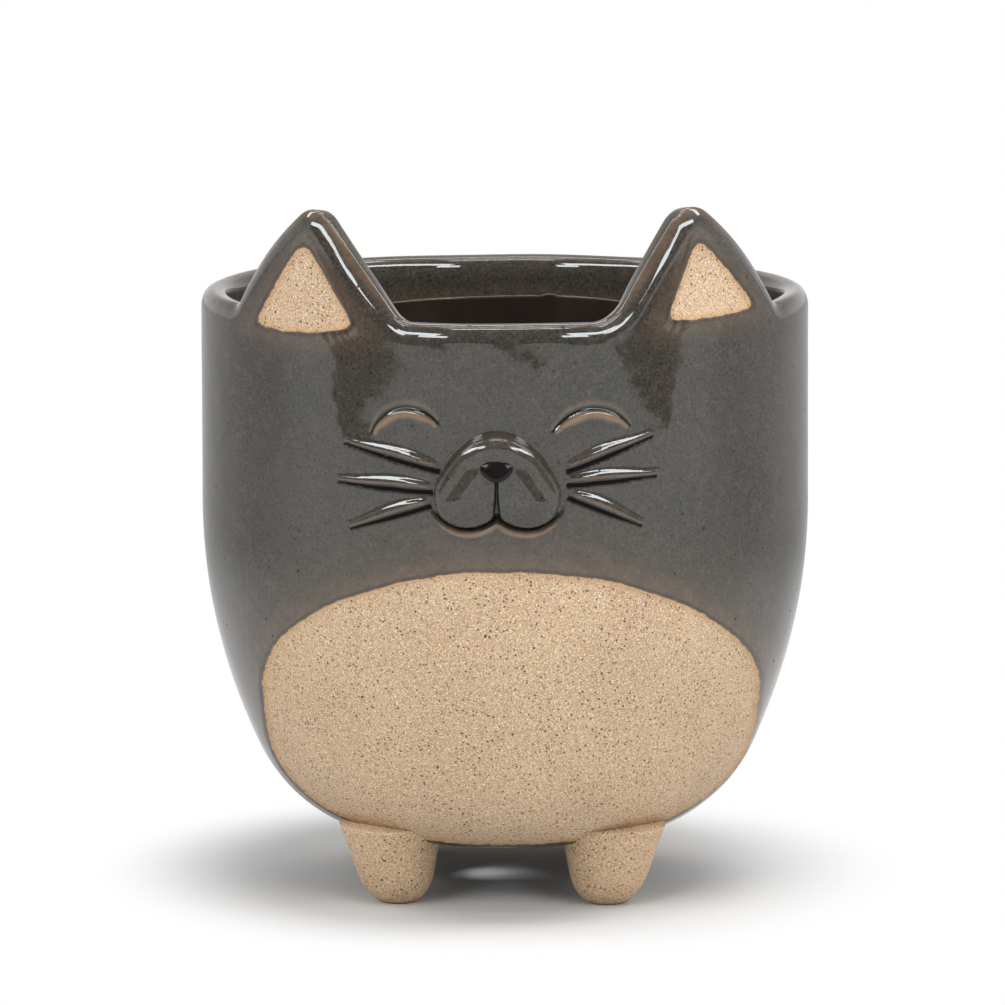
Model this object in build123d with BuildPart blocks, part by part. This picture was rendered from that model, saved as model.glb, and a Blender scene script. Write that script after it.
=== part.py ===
"""A small stoneware planter in the shape of a sitting cat.

The bowl is one clay shell whose wall runs up into two ears.  A muzzle, a nose
and four stub legs are luted on with slip.  A grey glaze covers the outside,
the lip and a band inside it, except where wax kept the belly, the inner ears
and the legs bare, and a dark glaze lines the inside.

Millimetres, +Z up, the face towards -Y, the feet on Z = 0.  The bowl's axis
stands axis_y behind the origin, which is the middle of the whole object.
"""
import os
from math import atan2, cos, degrees, hypot, radians, sin, sqrt

from build123d import *

# Bowl, finished outside
body_radius = 60.0
base_height = 12.0
body_height = 106.0
corner_radius = 30.5
corner_height = 28.8
side_flare = 8.0
side_rise = 36.0
base_round = 6.0

# Clay wall, glaze coat, lip and drain
clay_wall = 4.5
clay_floor = 6.0
floor_round = 8.0
glaze = 0.5
lip_outer_round = 3.0
lip_inner_round = 2.1
drain_radius = 5.0
dip_drop = 9.0

# Ears, drawn flat on the plane that faces their middle
ear_turn = 39.4
ear_rise = 22.75
ear_apex_shift = -2.1
ear_inner_foot = 19.9
ear_outer_foot = 22.8
ear_inner_bulge = 0.6
ear_outer_bulge = 1.5
ear_tip_round = 6.0
ear_inner_flare = 6.5
ear_outer_flare = 3.0

# Bare patches that the wax left, a little to the right of the face
patch_shift = 1.6
patch_rise = 15.8
patch_drop = 0.9
patch_apex_shift = -0.2
patch_inner_foot = 9.8
patch_outer_foot = 15.2
patch_round = 1.4
belly_shift = 1.6
belly_half_width = 48.4
belly_top_drop = 47.0
belly_lift = 1.6

# Muzzle: a crown and two lobes that bulge out of the wall
muzzle_proud = 5.0
crown_drop = 27.0
crown_radius = 6.3
crown_reach = 0.6
lobe_drop = 32.5
lobe_reach = 5.6
lobe_radius = 6.3
muzzle_round = 3.4

# Nose: a rounded triangle on the muzzle
nose_proud = 0.8
nose_drop = 24.8
nose_half_width = 4.7
nose_height = 5.0
nose_corner = 1.2
nose_round = 0.6

# Closed eyes and whiskers, gouged in the wall
eye_turn = 17.0
eye_drop = 24.2
eye_radius = 8.2
eye_spread = 100.0
eye_gouge = 0.8
whisker_gouge = 1.0
whisker_tip = 0.3
whisker_inner_turn = 13.0
whisker_outer_turn = 29.0
whisker_inner_drops = (27.8, 31.0, 33.8)
whisker_outer_drops = (22.8, 30.2, 38.8)

# Legs
leg_spread_x = 20.3
leg_spread_y = 24.0
leg_foot_radius = 6.3
leg_top_radius = 9.2
leg_lean = 1.6
leg_root = 10.0
foot_round = 3.2

# Places that follow from the sizes above
axis_y = (muzzle_proud + nose_proud) / 2
rim_z = base_height + body_height
corner_z = base_height + corner_height
straight_z = corner_z + side_rise
corner_reach = body_radius - side_flare - corner_radius
side_radius = corner_radius + side_flare / 2 + side_rise**2 / (2 * side_flare)
tall_z = rim_z + 2 * ear_rise
wall = clay_wall + 2 * glaze
floor_z = base_height + clay_floor + 2 * glaze
pot_axis = Axis((0, axis_y, 0), (0, 0, 1))
upright = Plane((0, axis_y, 0), x_dir=(1, 0, 0), z_dir=(0, -1, 0))
sides = {"left": -1, "right": 1}
ends = {"front": -1, "rear": 1}


def facing(turn, z=0.0):
    """The plane that touches the bowl's side at turn degrees from the front,
    right positive, and at height z, with its normal pointing out."""
    a = radians(turn)
    touch = (body_radius * sin(a), axis_y - body_radius * cos(a), z)
    return Plane(touch, x_dir=(cos(a), sin(a), 0), z_dir=(sin(a), -cos(a), 0))


def bowl_section(margin, bottom, bottom_round, top):
    """Half of the bowl's section, its side moved out by margin: a flat base, a
    corner arc, a wide side arc that ends upright, and a straight wall."""
    low_radius = corner_radius + margin
    base_reach = corner_reach + sqrt(low_radius**2 - (corner_z - bottom) ** 2)
    start = degrees(atan2(bottom - corner_z, base_reach - corner_reach))
    join = degrees(atan2(-side_rise, side_radius - side_flare - corner_radius))
    with BuildSketch(upright) as section:
        with BuildLine():
            base = Line((0, bottom), (base_reach, bottom))
            CenterArc((corner_reach, corner_z), low_radius, start, join - start)
            side_centre = (body_radius - side_radius, straight_z)
            side = CenterArc(side_centre, side_radius + margin, join, -join)
            Polyline(side @ 1, (body_radius + margin, top), (0, top), base @ 0)
        make_face()
        base_corner = section.vertices().sort_by_distance((base_reach, bottom))[0]
        fillet(base_corner, bottom_round)
    return section.sketch


def outside_section(grow, top):
    """Half section of the pot's outside, grown by grow."""
    return bowl_section(grow, base_height - grow, base_round + grow, top)


def cavity_section(grow, top):
    """Half section of the pot's inside space, grown by grow."""
    return bowl_section(grow - wall, floor_z - grow, floor_round + grow, top)


def ear_outline(grow):
    """The right ear on the strip of wall that it rises from, grown by grow."""
    strip = body_radius / 2
    inner_foot = (-ear_inner_foot, rim_z)
    outer_foot = (ear_outer_foot, rim_z)
    apex = (ear_apex_shift, rim_z + ear_rise)
    rounds = {apex: ear_tip_round, inner_foot: ear_inner_flare, outer_foot: ear_outer_flare}
    with BuildSketch(facing(ear_turn)) as outline:
        with BuildLine():
            SagittaArc(inner_foot, apex, ear_inner_bulge)
            SagittaArc(apex, outer_foot, ear_outer_bulge)
            Polyline(outer_foot, (strip, rim_z), (strip, straight_z))
            Polyline((strip, straight_z), (-strip, straight_z), (-strip, rim_z), inner_foot)
        make_face()
        for corner, radius in rounds.items():
            fillet(outline.vertices().sort_by_distance(corner)[0], radius)
        if grow:
            offset(amount=grow, kind=Kind.INTERSECTION)
    return outline.sketch


def from_axis(point):
    """Distance of a point from the bowl's axis."""
    return hypot(point.X, point.Y - axis_y)


def above_lip(grow):
    """All the space above the lip and the ears."""
    with BuildPart() as space:
        with BuildSketch(Plane.XY.offset(rim_z + grow)):
            Rectangle(4 * body_radius, 4 * body_radius)
        extrude(amount=2 * ear_rise)
        ear = extrude(ear_outline(grow), amount=body_radius / 2, both=True, mode=Mode.SUBTRACT)
        mirror(ear, about=Plane.YZ, mode=Mode.SUBTRACT)
    return space.part


def pot_form(grow):
    """The bowl with its ears and rounded lip, every surface moved out by grow."""
    with BuildPart() as form:
        revolve(outside_section(grow, rim_z + 1.5 * ear_rise), axis=pot_axis)
        revolve(cavity_section(-grow, tall_z), axis=pot_axis, mode=Mode.SUBTRACT)
        with Locations((0, axis_y, floor_z)):
            Hole(drain_radius)
        add(above_lip(grow), mode=Mode.SUBTRACT)
        lip = [
            edge
            for edge in form.edges()
            if edge.bounding_box().min.Z > rim_z - lip_inner_round
            and abs(from_axis(edge @ 0) - from_axis(edge @ 1)) < glaze
        ]
        outer_lip = [edge for edge in lip if from_axis(edge @ 0) > body_radius - wall / 2]
        inner_lip = [edge for edge in lip if from_axis(edge @ 0) < body_radius - wall / 2]
        fillet(outer_lip, lip_outer_round + grow)
        fillet(inner_lip, lip_inner_round + grow)
    return form.part


def spindle(turns, heights, grow):
    """A whisker gouge: thickest in its middle, along the wall between two points."""
    start, middle, end = [
        facing(turn, z).origin
        for turn, z in (
            (turns[0], heights[0]),
            (sum(turns) / 2, sum(heights) / 2),
            (turns[1], heights[1]),
        )
    ]
    along = (end - start).normalized()
    stations = {
        start - along * grow: whisker_tip + grow,
        middle: whisker_gouge + grow,
        end + along * grow: whisker_tip + grow,
    }
    with BuildPart() as gouge:
        for centre, radius in stations.items():
            with BuildSketch(Plane(centre, z_dir=along)):
                Circle(radius)
        loft()
    return gouge.part


def eyelid(turn, grow):
    """A closed eye: a round gouge along an arc that bends upwards."""
    plane = facing(turn, rim_z - eye_drop)
    spread = eye_spread + 2 * degrees(grow / eye_radius)
    start = Plane(plane.origin + plane.x_dir * eye_radius, x_dir=plane.x_dir, z_dir=plane.y_dir)
    with BuildPart() as gouge:
        with BuildSketch(start):
            Circle(eye_gouge + grow)
        revolve(axis=Axis(plane.origin, plane.z_dir), revolution_arc=spread)
    lean = Axis(plane.origin, plane.z_dir)
    return gouge.part.rotate(lean, 90 - spread / 2)


def face_gouges(grow):
    """Both eyes and all the whiskers, grown by grow."""
    gouges = []
    for side in sides.values():
        gouges.append(eyelid(side * eye_turn, grow))
        turns = (side * whisker_inner_turn, side * whisker_outer_turn)
        for drops in zip(whisker_inner_drops, whisker_outer_drops):
            gouges.append(spindle(turns, [rim_z - drop for drop in drops], grow))
    return gouges


def belly_patch():
    """The bare oval on the front of the bowl, as a bar along Y."""
    top = rim_z - belly_top_drop
    bottom = base_height + belly_lift
    with BuildPart() as patch:
        with BuildSketch(upright):
            with Locations((belly_shift, (top + bottom) / 2)):
                Ellipse(belly_half_width, (top - bottom) / 2)
        extrude(amount=2 * body_radius)
    return patch.part


def ear_patch(side):
    """The bare triangle on one ear, deep enough to pass the glaze over its curve."""
    shift = side * patch_shift
    depth = 2 * glaze + (patch_outer_foot + patch_shift) ** 2 / (2 * body_radius)
    inner = (shift - side * patch_inner_foot, rim_z - patch_drop)
    outer = (shift + side * patch_outer_foot, rim_z - patch_drop)
    apex = (shift + side * patch_apex_shift, rim_z + patch_rise)
    with BuildPart() as patch:
        with BuildSketch(facing(side * ear_turn)) as triangle:
            with BuildLine():
                Polyline(inner, apex, outer, close=True)
            make_face()
            fillet(triangle.vertices(), patch_round)
        extrude(amount=depth, both=True)
    return patch.part


def muzzle_form():
    """Two cheeks that share a crown and part below it, from the axis outwards."""
    front = body_radius + muzzle_proud
    with BuildPart() as cheeks:
        with BuildSketch(facing(0)):
            with Locations((crown_reach, rim_z - crown_drop)):
                Circle(crown_radius)
            with Locations((lobe_reach, rim_z - lobe_drop)):
                Circle(lobe_radius)
            make_hull()
        extrude(amount=body_radius / 2, both=True)
        with Locations((0, axis_y, 0)):
            Cylinder(front, 2 * tall_z, mode=Mode.INTERSECT)
        fillet(cheeks.faces().sort_by(Axis.Y)[0].edges(), muzzle_round)
        mirror(about=Plane.YZ)
    return cheeks.part


def leg_form(side, end):
    """One leg: a rounded foot that widens and leans outwards up into the bowl."""
    lean = leg_lean / hypot(leg_spread_x, leg_spread_y)
    with BuildPart() as leg:
        for z in (0, base_height + leg_root):
            rise = z / base_height
            reach = 1 + lean * rise
            with BuildSketch(Plane((side * leg_spread_x * reach, axis_y + end * leg_spread_y * reach, z))):
                Circle(leg_foot_radius + (leg_top_radius - leg_foot_radius) * rise)
        loft()
        fillet(leg.edges().group_by(Axis.Z)[0], foot_round)
    return leg.part


os.makedirs("parts", exist_ok=True)
clay_form = pot_form(-glaze)
cheeks = muzzle_form()
legs = {
    f"{end}_{side}_leg": leg_form(sides[side], ends[end])
    for end in ends
    for side in sides
}

with BuildPart() as clay_solid:
    revolve(outside_section(-glaze, tall_z), axis=pot_axis)

# Bowl and ears in bare clay, gouged deeper by the glaze that will line the gouges
with BuildPart() as pot_body:
    add(clay_form)
    add(face_gouges(glaze), mode=Mode.SUBTRACT)
pot_body.part.label = "pot_body"
export_step(pot_body.part, "parts/pot_body.step")

# Grey glaze over the outside, the lip and the band inside it
with BuildPart() as outer_glaze:
    add(pot_form(0))
    add(face_gouges(0), mode=Mode.SUBTRACT)
    add(pot_body.part, mode=Mode.SUBTRACT)
    revolve(cavity_section(glaze, rim_z - dip_drop), axis=pot_axis, mode=Mode.SUBTRACT)
    add([belly_patch(), cheeks], mode=Mode.SUBTRACT)
    add([ear_patch(side) for side in sides.values()], mode=Mode.SUBTRACT)
    add(legs.values(), mode=Mode.SUBTRACT)
outer_glaze.part.label = "outer_glaze"
export_step(outer_glaze.part, "parts/outer_glaze.step")

# Dark glaze that lines the inside up to the dip line
with BuildPart() as liner_glaze:
    revolve(cavity_section(glaze, rim_z - dip_drop), axis=pot_axis)
    revolve(cavity_section(0, tall_z), axis=pot_axis, mode=Mode.SUBTRACT)
    with Locations((0, axis_y, floor_z)):
        Hole(drain_radius)
liner_glaze.part.label = "liner_glaze"
export_step(liner_glaze.part, "parts/liner_glaze.step")

# Muzzle, seated on the clay through a window in the glaze
with BuildPart() as muzzle:
    add(cheeks)
    add(clay_solid.part, mode=Mode.SUBTRACT)
muzzle.part.label = "muzzle"
export_step(muzzle.part, "parts/muzzle.step")

# Nose, a glazed bead pressed on the muzzle
with BuildPart() as nose:
    nose_top = rim_z - nose_drop
    with BuildSketch(facing(0)) as triangle:
        with BuildLine():
            Polyline(
                (-nose_half_width, nose_top),
                (nose_half_width, nose_top),
                (0, nose_top - nose_height),
                close=True,
            )
        make_face()
        fillet(triangle.vertices(), nose_corner)
    extrude(amount=muzzle_proud + nose_proud)
    fillet(nose.faces().sort_by(Axis.Y)[0].edges(), nose_round)
    add([cheeks, clay_solid.part], mode=Mode.SUBTRACT)
nose.part.label = "nose"
export_step(nose.part, "parts/nose.step")

# Four legs, each cut to the bowl's underside
for name, form in legs.items():
    with BuildPart() as leg:
        add(form)
        add(clay_solid.part, mode=Mode.SUBTRACT)
    leg.part.label = name
    export_step(leg.part, f"parts/{name}.step")
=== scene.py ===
"""The looks of the cat planter: a glazed pot with ears, its dark liner, muzzle, nose and clay legs.

Lengths are millimetres until a mesh is filled. Angles are degrees round the pot's upright axis, from the
face at 0 and positive towards +X. A place on the wall is written as (angle, height).
"""

import math

import bpy
import numpy as np
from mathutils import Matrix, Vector


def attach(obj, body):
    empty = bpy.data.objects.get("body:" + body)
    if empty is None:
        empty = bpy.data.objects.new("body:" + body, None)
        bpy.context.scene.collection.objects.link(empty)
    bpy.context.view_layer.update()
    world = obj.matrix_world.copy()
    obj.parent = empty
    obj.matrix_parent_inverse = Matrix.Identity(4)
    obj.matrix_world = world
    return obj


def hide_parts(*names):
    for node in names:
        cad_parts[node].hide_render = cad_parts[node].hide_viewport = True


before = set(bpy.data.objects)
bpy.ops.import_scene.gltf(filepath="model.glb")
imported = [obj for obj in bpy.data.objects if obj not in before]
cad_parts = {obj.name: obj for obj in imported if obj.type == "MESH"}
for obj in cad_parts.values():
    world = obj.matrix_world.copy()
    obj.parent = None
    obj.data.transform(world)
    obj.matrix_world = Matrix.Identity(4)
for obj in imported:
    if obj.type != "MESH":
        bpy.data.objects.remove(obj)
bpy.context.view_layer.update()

MM = 0.001

# The pot's form, as in the solids
AXIS_Y = 2.9
BODY_RADIUS = 60.0
BASE_Z = 12.0
RIM_Z = 118.0
CORNER_RADIUS = 30.5
CORNER_Z = 40.8
SIDE_FLARE = 8.0
SIDE_RISE = 36.0
BASE_ROUND = 6.0
WALL = 5.5
FLOOR_Z = 19.0
FLOOR_ROUND = 8.0

# The lip's section on the rim and on the ears: degrees of tilt in its bevel and in its swell, the share of
# its outer side where the corner starts, that side's length, and the inner round's width and height
RIM_LIP = {"bevel": 14.0, "swell": 24.0, "corner": 0.56, "long": 5.0, "inner": 1.7, "inside": 4.6}
EAR_LIP = {"bevel": 20.0, "swell": 15.0, "corner": 0.73, "long": 4.7, "inner": 1.2, "inside": 2.2}
LIP_STEPS = 18
LIP_POWER = 0.8
LIP_FALL = 0.25

# The drain, the glaze coats and the liner's edge
DRAIN_RADIUS = 5.0
GLAZE = 0.5
DIP_Z = 109.0
LINER_PROUD = 0.1
LINER_DEEP = 0.4
BEAD_RADIUS = 0.32

# Heights up to which the mesh's rings are level, outside and inside; over them they follow the lip
FACE_TOP = 105.0
INSIDE_TOP = 100.0

# Gaps in the mesh: between rings by height, and between columns by turn, finest over the face
RING_HEIGHTS = (BASE_Z, 12.6, 20, 26, 58, 62, 72, 76, 103, 105)
RING_GAPS = (4.0, 1.1, 1.1, 2.2, 2.2, 1.2, 1.0, 0.275, 0.275, 0.5)
COLUMN_TURNS = (0, 31, 36, 62, 80, 180)
COLUMN_GAPS = (0.28, 0.28, 0.65, 0.8, 2.6, 3.8)
LINER_TURNS = (0, 130, 150, 180)
LINER_GAPS = (3.0, 3.0, 0.8, 0.8)
INSIDE_HEIGHTS = (FLOOR_Z, 19.4, 100)
UPPER_RINGS = 20
INNER_LIP_STEPS = 12

# Worked out from the sizes above
CORNER_REACH = BODY_RADIUS - SIDE_FLARE - CORNER_RADIUS
STRAIGHT_Z = CORNER_Z + SIDE_RISE
SIDE_RADIUS = CORNER_RADIUS + SIDE_FLARE / 2 + SIDE_RISE**2 / (2 * SIDE_FLARE)
SIDE_TURN = math.degrees(math.atan2(-SIDE_RISE, SIDE_RADIUS - CORNER_RADIUS - SIDE_FLARE))
INNER_RADIUS = BODY_RADIUS - WALL

# The ears, each drawn flat from its own middle: inner side first, outer side second
LEFT_EAR = {
    "turn": 38.8,
    "apex": (-2.3, 22.0),
    "feet": (-21.1, 21.3),
    "bulges": (0.38, 1.42),
    "tip": 5.4,
    "flares": (4.75, 3.0),
}
RIGHT_EAR = {
    "turn": 40.1,
    "apex": (-2.4, 22.9),
    "feet": (-18.7, 24.3),
    "bulges": (0.75, 1.5),
    "tip": 6.55,
    "flares": (8.0, 3.0),
}

# Bare clay: the belly oval seen from the front, and a triangle on each ear by its corners, its base's
# sag and how far its apex is cut. The belly's mark fades out over some degrees round the sides.
BELLY_MIDDLE = (1.6, 42.2)
BELLY_HALF_WIDTH = 48.4
BELLY_HALF_HEIGHT = 28.8
EAR_PATCHES = (
    ((-38.1, 133.0), (-51.8, 115.4), (-27.0, 116.8), 1.4, 1.7),
    ((38.9, 133.4), (32.1, 117.8), (54.6, 118.6), 0.6, 0.7),
)
PATCH_ROUND = 0.8
CLAY_RECESS = 0.25
BELLY_FADE = (82, 104)
FAR_FROM_CLAY = -20.0

# The face: lid arcs by their two ends and their rise, whiskers from the blunt inner end to the outer tip,
# and the heights and depths of their relief and of the mouth's
EYES = (((-23.4, 97.0), (-10.7, 99.2), 3.9), ((10.2, 98.0), (24.4, 98.5), 3.8))
WHISKERS = (
    ((-10.9, 90.4), (-28.8, 94.6)),
    ((-12.0, 86.3), (-30.3, 87.1)),
    ((-12.4, 83.6), (-27.8, 78.4)),
    ((13.0, 90.4), (28.8, 96.1)),
    ((13.1, 87.7), (29.7, 88.6)),
    ((13.3, 85.2), (26.8, 79.3)),
)
WHISKER_RIDGE = 0.47
WHISKER_CUT = 0.20
EYE_LID = 0.40
EYE_CUT = 0.26
MOUTH_LIP = 0.7
MOUTH_CUT = 0.5

# The muzzle: circles of its outline, each by its middle and radius, then how it rises, and the nose on it
CROWN = (0.0, 90.8)
CROWN_RADIUS = 7.1
BROW_Z = 87.0
BROW_RADIUS = 10.3
BROW_BLEND = 0.5
LOBE = (5.5, 85.4)
LOBE_RADIUS = 6.6
SMILE = (5.75, 87.2)
SMILE_RADIUS = 7.75
CROWN_PROUD = 4.5
SMILE_PROUD = 1.9
DOME_WIDTH = 3.1
SMILE_WIDTH = 0.8
DOME_STEEP = 4.3
DOME_GENTLE = 0.64
CHEEK_FALL = 0.25
CHEEK_REACH = 11.5
MUZZLE_SEAT = 3.0
MUZZLE_SINK = 0.02
NOSE_Z = 91.0
NOSE_HALF_WIDTH = 3.25
NOSE_HEIGHT = 4.4
NOSE_PROUD = 0.8
NOSE_SEAT = 2.6
GROOVE_TOP = NOSE_Z - 1.2
GROOVE_FOOT = 82.0

# The legs
LEG_SPREAD = (20.3, 24.0)
LEG_FOOT_RADIUS = 6.1
LEG_SPLAY = 0.255
LEG_LEAN = 0.13
LEG_TOP_Z = 16.0
FOOT_ROUND_HEIGHT = 6.0
FOOT_ROUND_DEPTH = 3.2


# Helpers for surfaces


def smooth(low, high, x):
    """Eases from 0 at low to 1 at high with level ends."""
    t = np.clip((x - low) / (high - low), 0.0, 1.0)
    return t * t * (3 - 2 * t)


def bell(x):
    """A bump that is 1 at 0, and 0 with level ends at -1 and 1."""
    return np.clip(1 - x * x, 0.0, None) ** 2


def spread(start, end, spacing):
    """Places from start to end whose gaps follow spacing(place): even steps of the summed 1 / spacing."""
    place = np.linspace(start, end, 4001)
    middle = (place[1:] + place[:-1]) / 2
    count = np.concatenate([[0.0], np.cumsum(np.diff(place) / spacing(middle))])
    steps = int(round(count[-1]))
    return np.interp(np.linspace(0, count[-1], steps + 1), count, place)


def arc(centre, radius, start, end):
    """Points of a circle arc between two angles in degrees, as (across, up) pairs."""
    turn = np.radians(np.linspace(start, end, 120))
    return np.stack([centre[0] + radius * np.cos(turn), centre[1] + radius * np.sin(turn)], -1)


def along(points, spacing):
    """A traced line resampled so that its gaps follow spacing(height), and its normal on the right."""
    step = np.hypot(*np.diff(points, axis=0).T)
    points = points[np.concatenate([[True], step > 1e-6])]
    length = np.concatenate([[0.0], np.cumsum(np.hypot(*np.diff(points, axis=0).T))])
    place = spread(0, length[-1], lambda at: spacing(np.interp(at, length, points[:, 1])))
    line = np.stack([np.interp(place, length, points[:, k]) for k in (0, 1)], -1)
    slope = np.gradient(line, place, axis=0)
    normal = np.stack([slope[:, 1], -slope[:, 0]], -1)
    return line, normal / np.linalg.norm(normal, axis=1, keepdims=True)


def on_pot(turn, radius, height):
    """Places round the pot's axis as x, y, z."""
    turn = np.radians(turn)
    return np.stack([radius * np.sin(turn), AXIS_Y - radius * np.cos(turn), height + 0 * turn], -1)


def at_front(radius, height):
    """One place on the middle line of the face as x, y, z."""
    return on_pot(np.zeros(1), np.full(1, radius), np.full(1, height))[0]


def fill_mesh(name, rings, material, close_rings=False, poles=(None, None), marks=None):
    """A piece from rings of points: quads between neighbouring rings, each ring closed on itself.

    The last ring joins the first where close_rings is set. A pole closes the first or the last ring with a
    fan. marks are values at the points, kept as attributes for the material.
    """
    rows, columns = rings.shape[:2]
    index = np.arange(rows * columns).reshape(rows, columns)
    low = index if close_rings else index[:-1]
    high = np.roll(index, -1, 0) if close_rings else index[1:]
    quads = np.stack([low, np.roll(low, -1, 1), np.roll(high, -1, 1), high], -1).reshape(-1, 4)
    points = rings.reshape(-1, 3)
    fans = np.zeros((0, 3), int)
    for pole, ring, turned in ((poles[0], index[0], True), (poles[1], index[-1], False)):
        if pole is None:
            continue
        tip = np.full(columns, len(points))
        points = np.concatenate([points, np.asarray(pole, float)[None]])
        following = np.roll(ring, -1)
        pair = (following, ring) if turned else (ring, following)
        fans = np.concatenate([fans, np.stack([pair[0], pair[1], tip], -1)])
    corners = np.concatenate([quads.ravel(), fans.ravel()])
    sizes = np.concatenate([np.full(len(quads), 4), np.full(len(fans), 3)])
    mesh = bpy.data.meshes.new(name)
    mesh.vertices.add(len(points))
    mesh.vertices.foreach_set("co", (points * MM).ravel())
    mesh.loops.add(len(corners))
    mesh.loops.foreach_set("vertex_index", corners)
    mesh.polygons.add(len(sizes))
    mesh.polygons.foreach_set("loop_start", np.concatenate([[0], np.cumsum(sizes)[:-1]]))
    mesh.polygons.foreach_set("use_smooth", np.ones(len(sizes), bool))
    mesh.update(calc_edges=True)
    mesh.validate()
    for mark, values in (marks or {}).items():
        kept = np.zeros(len(points))
        kept[: values.size] = values.ravel()
        mesh.attributes.new(mark, "FLOAT", "POINT").data.foreach_set("value", kept)
    mesh.materials.append(material)
    piece = bpy.data.objects.new(name, mesh)
    bpy.context.scene.collection.objects.link(piece)
    return piece


# The pot's surfaces


def wall_wave(turn, height):
    """The slight unevenness of a wall made by hand: a sum of long sine waves round and up the pot."""
    t, h = np.radians(turn), height / RIM_Z
    wide = 0.10 * np.sin(2 * t + 0.6 + 1.1 * h) + 0.06 * np.sin(3 * t - 1.3 + 2.3 * h)
    fine = 0.034 * np.sin(9 * t + 5 * h + 0.4) + 0.026 * np.sin(14 * t - 11 * h + 2.0)
    ripple = 0.016 * np.sin(23 * t + 17 * h) * np.sin(31 * h + 1.0)
    lean = 0.45 * smooth(55, 118, height) * bell((turn - 90) / 70)
    return wide + fine + ripple - lean - 0.16


def circle_over(a, b, rise):
    """Centre and radius of the circle through a and b that stands rise over the left of their chord."""
    (ax, ay), (bx, by) = a, b
    chord = math.hypot(bx - ax, by - ay)
    radius = (chord**2 / 4 + rise**2) / (2 * rise)
    left = (-(by - ay) / chord, (bx - ax) / chord)
    back = rise - radius
    return ((ax + bx) / 2 + left[0] * back, (ay + by) / 2 + left[1] * back), radius


def one_ear(across, ear):
    """Height of an ear over the rim: two bowed sides, a tip rounded inside both, a flare at each foot."""
    tip, (flare_i, flare_o) = ear["tip"], ear["flares"]
    (ix, iy), ir = circle_over((ear["feet"][0], 0), ear["apex"], ear["bulges"][0])
    (ox, oy), outer_r = circle_over(ear["apex"], (ear["feet"][1], 0), ear["bulges"][1])
    reach_i, reach_o = ir - tip, outer_r - tip
    gap = math.hypot(ox - ix, oy - iy)
    on = (reach_i**2 - reach_o**2 + gap**2) / (2 * gap)
    off = math.sqrt(reach_i**2 - on**2)
    ux, uy = (ox - ix) / gap, (oy - iy) / gap
    tips = [(ix + on * ux - k * off * uy, iy + on * uy + k * off * ux) for k in (1, -1)]
    tx, ty = max(tips, key=lambda p: p[1])
    fi = ix - math.sqrt((ir + flare_i) ** 2 - (flare_i - iy) ** 2)
    fo = ox + math.sqrt((outer_r + flare_o) ** 2 - (flare_o - oy) ** 2)
    tip_i = ix + (tx - ix) * ir / reach_i
    tip_o = ox + (tx - ox) * outer_r / reach_o
    foot_i = ix + (fi - ix) * ir / (ir + flare_i)
    foot_o = ox + (fo - ox) * outer_r / (outer_r + flare_o)

    def bow(x, y, r, sign):
        """The upper or lower half of a circle."""
        return y + sign * np.sqrt(np.clip(r * r - (across - x) ** 2, 0, None))

    return np.select(
        [across < fi, across < foot_i, across < tip_i, across < tip_o, across < foot_o, across < fo],
        [
            0 * across,
            bow(fi, flare_i, flare_i, -1),
            bow(ix, iy, ir, 1),
            bow(tx, ty, tip, 1),
            bow(ox, oy, outer_r, 1),
            bow(fo, flare_o, flare_o, -1),
        ],
        0.0,
    )


def ear_height(turn):
    """Height of the lip over the rim all round: each ear is drawn on the flat that faces its middle."""
    left, right = (
        one_ear(BODY_RADIUS * np.sin(np.radians(np.abs(turn) - ear["turn"])), ear)
        for ear in (LEFT_EAR, RIGHT_EAR)
    )
    return np.where(turn < 0, left, right)


def lip_line(turn):
    """Height of the lip's crest with a slight hand-made wave, and its normal along and up the wall."""
    t = np.radians(turn)
    wave = 0.07 * np.sin(5 * t + 1.0) + 0.05 * np.sin(11 * t - 0.5)
    crest = RIM_Z + ear_height(turn) - 0.12 + wave - 0.35 * smooth(110, 165, np.abs(turn))
    slope = np.gradient(crest, BODY_RADIUS * t)
    size = np.sqrt(1 + slope**2)
    return crest, -slope / size, 1 / size


def stroke(arc_place, height, start, end):
    """Share along a straight stroke, distance beyond its ends, and distance across it, upwards positive."""
    ax, ay = math.radians(start[0]) * BODY_RADIUS, start[1]
    bx, by = math.radians(end[0]) * BODY_RADIUS, end[1]
    size = math.hypot(bx - ax, by - ay)
    ux, uy = (bx - ax) / size, (by - ay) / size
    ahead = (arc_place - ax) * ux + (height - ay) * uy
    across = ((height - ay) * ux - (arc_place - ax) * uy) * (1 if ux > 0 else -1)
    beyond = np.maximum(ahead - size, 0) + np.maximum(-ahead, 0)
    return np.clip(ahead / size, 0, 1), beyond, across


def ridge(across, middle, above, below):
    """A bump at middle that is 1 high, and reaches above over it and below under it."""
    return bell((across - middle) / np.where(across > middle, above, below))


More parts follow.
